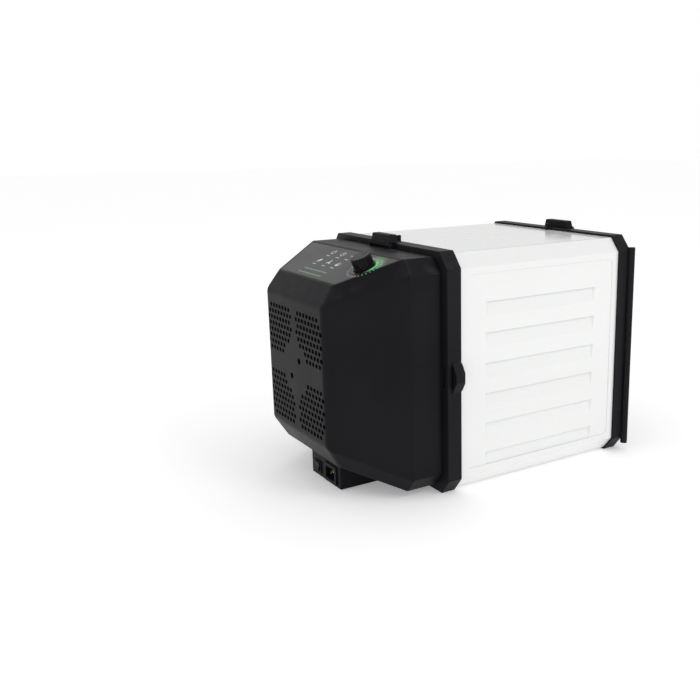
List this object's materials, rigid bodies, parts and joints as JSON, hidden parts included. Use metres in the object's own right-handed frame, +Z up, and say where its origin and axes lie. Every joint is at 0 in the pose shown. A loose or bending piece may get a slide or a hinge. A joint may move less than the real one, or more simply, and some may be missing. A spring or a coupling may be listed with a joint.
{
  "type": "food dehydrator",
  "caption": "White box-shaped food dehydrator between two black end frames, with a hinged fan and heater unit, a hinged door, sliding trays and a control dial.",
  "frame": {"origin": "middle of the whole object's footprint, on the floor", "axes": "+Z up, +Y along the cabinet towards the fan unit, door towards -Y, +X towards the fan unit's hinge"},
  "size_m": [0.326, 0.465, 0.331],
  "materials": {
    "black_plastic": "satin",
    "white_plastic": "gloss",
    "tray_plastic": "satin",
    "drip_plastic": "satin",
    "panel_plastic": "satin",
    "knob_plastic": "gloss",
    "light_ring": "translucent",
    "shroud_plastic": "matte",
    "steel": "brushed",
    "motor_steel": "brushed",
    "inlet_brass": "bright",
    "board": "matte"
  },
  "bodies": {
    "cabinet": {"front_frame": "black_plastic", "rear_frame": "black_plastic", "left_side_panel": "white_plastic", "right_side_panel": "white_plastic", "top_panel": "white_plastic", "bottom_panel": "white_plastic", "frame_screws": "steel", "front_hinge_pin": "steel", "rear_hinge_pin": "steel", "front_catch_peg": "black_plastic", "rear_catch_peg": "black_plastic", "front_side_latch_pin": "steel", "rear_side_latch_pin": "steel"},
    "fan_unit": {"fan_cover": "black_plastic", "control_panel": "panel_plastic", "dial_light_ring": "light_ring", "dial_encoder": "steel", "circuit_board": "board", "board_components": "board", "board_screws": "steel", "fan_shroud": "shroud_plastic", "shroud_screws": "steel", "fan_motor": "motor_steel", "motor_screws": "steel", "heater_element": "steel", "heater_bracket": "steel", "thermal_cutout": "steel", "air_guard": "black_plastic", "guard_screws": "steel", "inlet_housing": "black_plastic", "power_inlet": "black_plastic", "inlet_pins": "inlet_brass", "switch_bezel": "black_plastic", "fan_unit_top_latch_pin": "steel"},
    "fan_latch": {"fan_unit_top_latch": "black_plastic"},
    "dial": {"dial_knob": "knob_plastic", "dial_shaft": "steel"},
    "fan": {"fan_rotor": "shroud_plastic", "rotor_shaft": "steel"},
    "rocker": {"switch_rocker": "knob_plastic"},
    "door": {"door_frame": "black_plastic", "door_panel": "black_plastic", "door_top_latch_pin": "steel"},
    "door_latch": {"door_top_latch": "black_plastic"},
    "rear_tab": {"rear_side_latch": "black_plastic"},
    "front_tab": {"front_side_latch": "black_plastic"},
    "drip": {"drip_tray": "drip_plastic"},
    "tray_body_1": {"tray_1": "tray_plastic"},
    "tray_body_2": {"tray_2": "tray_plastic"},
    "tray_body_3": {"tray_3": "tray_plastic"},
    "tray_body_4": {"tray_4": "tray_plastic"},
    "tray_body_5": {"tray_5": "tray_plastic"},
    "tray_body_6": {"tray_6": "tray_plastic"}
  },
  "joints": [
    {"name": "fan_unit_hinge", "type": "hinge", "parent": "cabinet", "child": "fan_unit", "pos_m": [0.155, 0.0941, 0.16], "axis": [0, 0, -1], "range_deg": [0, 95]},
    {"name": "door_hinge", "type": "hinge", "parent": "cabinet", "child": "door", "pos_m": [-0.155, -0.2211, 0.16], "axis": [0, 0, -1], "range_deg": [0, 110]},
    {"name": "fan_unit_latch", "type": "hinge", "parent": "fan_unit", "child": "fan_latch", "pos_m": [0, 0.0977, 0.317], "axis": [-1, 0, 0], "range_deg": [0, 70]},
    {"name": "door_latch_pivot", "type": "hinge", "parent": "door", "child": "door_latch", "pos_m": [0, -0.2247, 0.317], "axis": [1, 0, 0], "range_deg": [0, 70]},
    {"name": "rear_side_latch_pivot", "type": "hinge", "parent": "cabinet", "child": "rear_tab", "pos_m": [-0.1557, 0.0743, 0.16], "axis": [0, 0, 1], "range_deg": [0, 18]},
    {"name": "front_side_latch_pivot", "type": "hinge", "parent": "cabinet", "child": "front_tab", "pos_m": [0.1557, -0.2013, 0.16], "axis": [0, 0, 1], "range_deg": [0, 18]},
    {"name": "dial_turn", "type": "hinge", "parent": "fan_unit", "child": "dial", "pos_m": [-0.083, 0.16961, 0.30056], "axis": [0, 0.382, 0.9242], "range_deg": [-150, 150]},
    {"name": "fan_spin", "type": "hinge", "parent": "fan_unit", "child": "fan", "pos_m": [0, 0.1235, 0.1625], "axis": [0, 1, 0], "continuous": true},
    {"name": "power_switch", "type": "hinge", "parent": "fan_unit", "child": "rocker", "pos_m": [0.0145, 0.1945, 0.0145], "axis": [-1, 0, 0], "range_deg": [0, 14]},
    {"name": "tray_1_slide", "type": "slide", "parent": "cabinet", "child": "tray_body_1", "axis": [0, -1, 0], "range_m": [0, 0.095]},
    {"name": "tray_2_slide", "type": "slide", "parent": "cabinet", "child": "tray_body_2", "axis": [0, -1, 0], "range_m": [0, 0.083]},
    {"name": "tray_3_slide", "type": "slide", "parent": "cabinet", "child": "tray_body_3", "axis": [0, -1, 0], "range_m": [0, 0.072]},
    {"name": "tray_4_slide", "type": "slide", "parent": "cabinet", "child": "tray_body_4", "axis": [0, -1, 0], "range_m": [0, 0.061]},
    {"name": "tray_5_slide", "type": "slide", "parent": "cabinet", "child": "tray_body_5", "axis": [0, -1, 0], "range_m": [0, 0.049]},
    {"name": "tray_6_slide", "type": "slide", "parent": "cabinet", "child": "tray_body_6", "axis": [0, -1, 0], "range_m": [0, 0.038]},
    {"name": "drip_tray_slide", "type": "slide", "parent": "cabinet", "child": "drip", "axis": [0, -1, 0], "range_m": [0, 0.025]}
  ],
  "couplings": [
    {"joint": "tray_1_slide", "follows": "door_hinge", "m_per_rad": 0.049},
    {"joint": "tray_2_slide", "follows": "door_hinge", "m_per_rad": 0.0427},
    {"joint": "tray_3_slide", "follows": "door_hinge", "m_per_rad": 0.037},
    {"joint": "tray_4_slide", "follows": "door_hinge", "m_per_rad": 0.0313},
    {"joint": "tray_5_slide", "follows": "door_hinge", "m_per_rad": 0.025},
    {"joint": "tray_6_slide", "follows": "door_hinge", "m_per_rad": 0.0193},
    {"joint": "drip_tray_slide", "follows": "door_hinge", "m_per_rad": 0.0125}
  ]
}
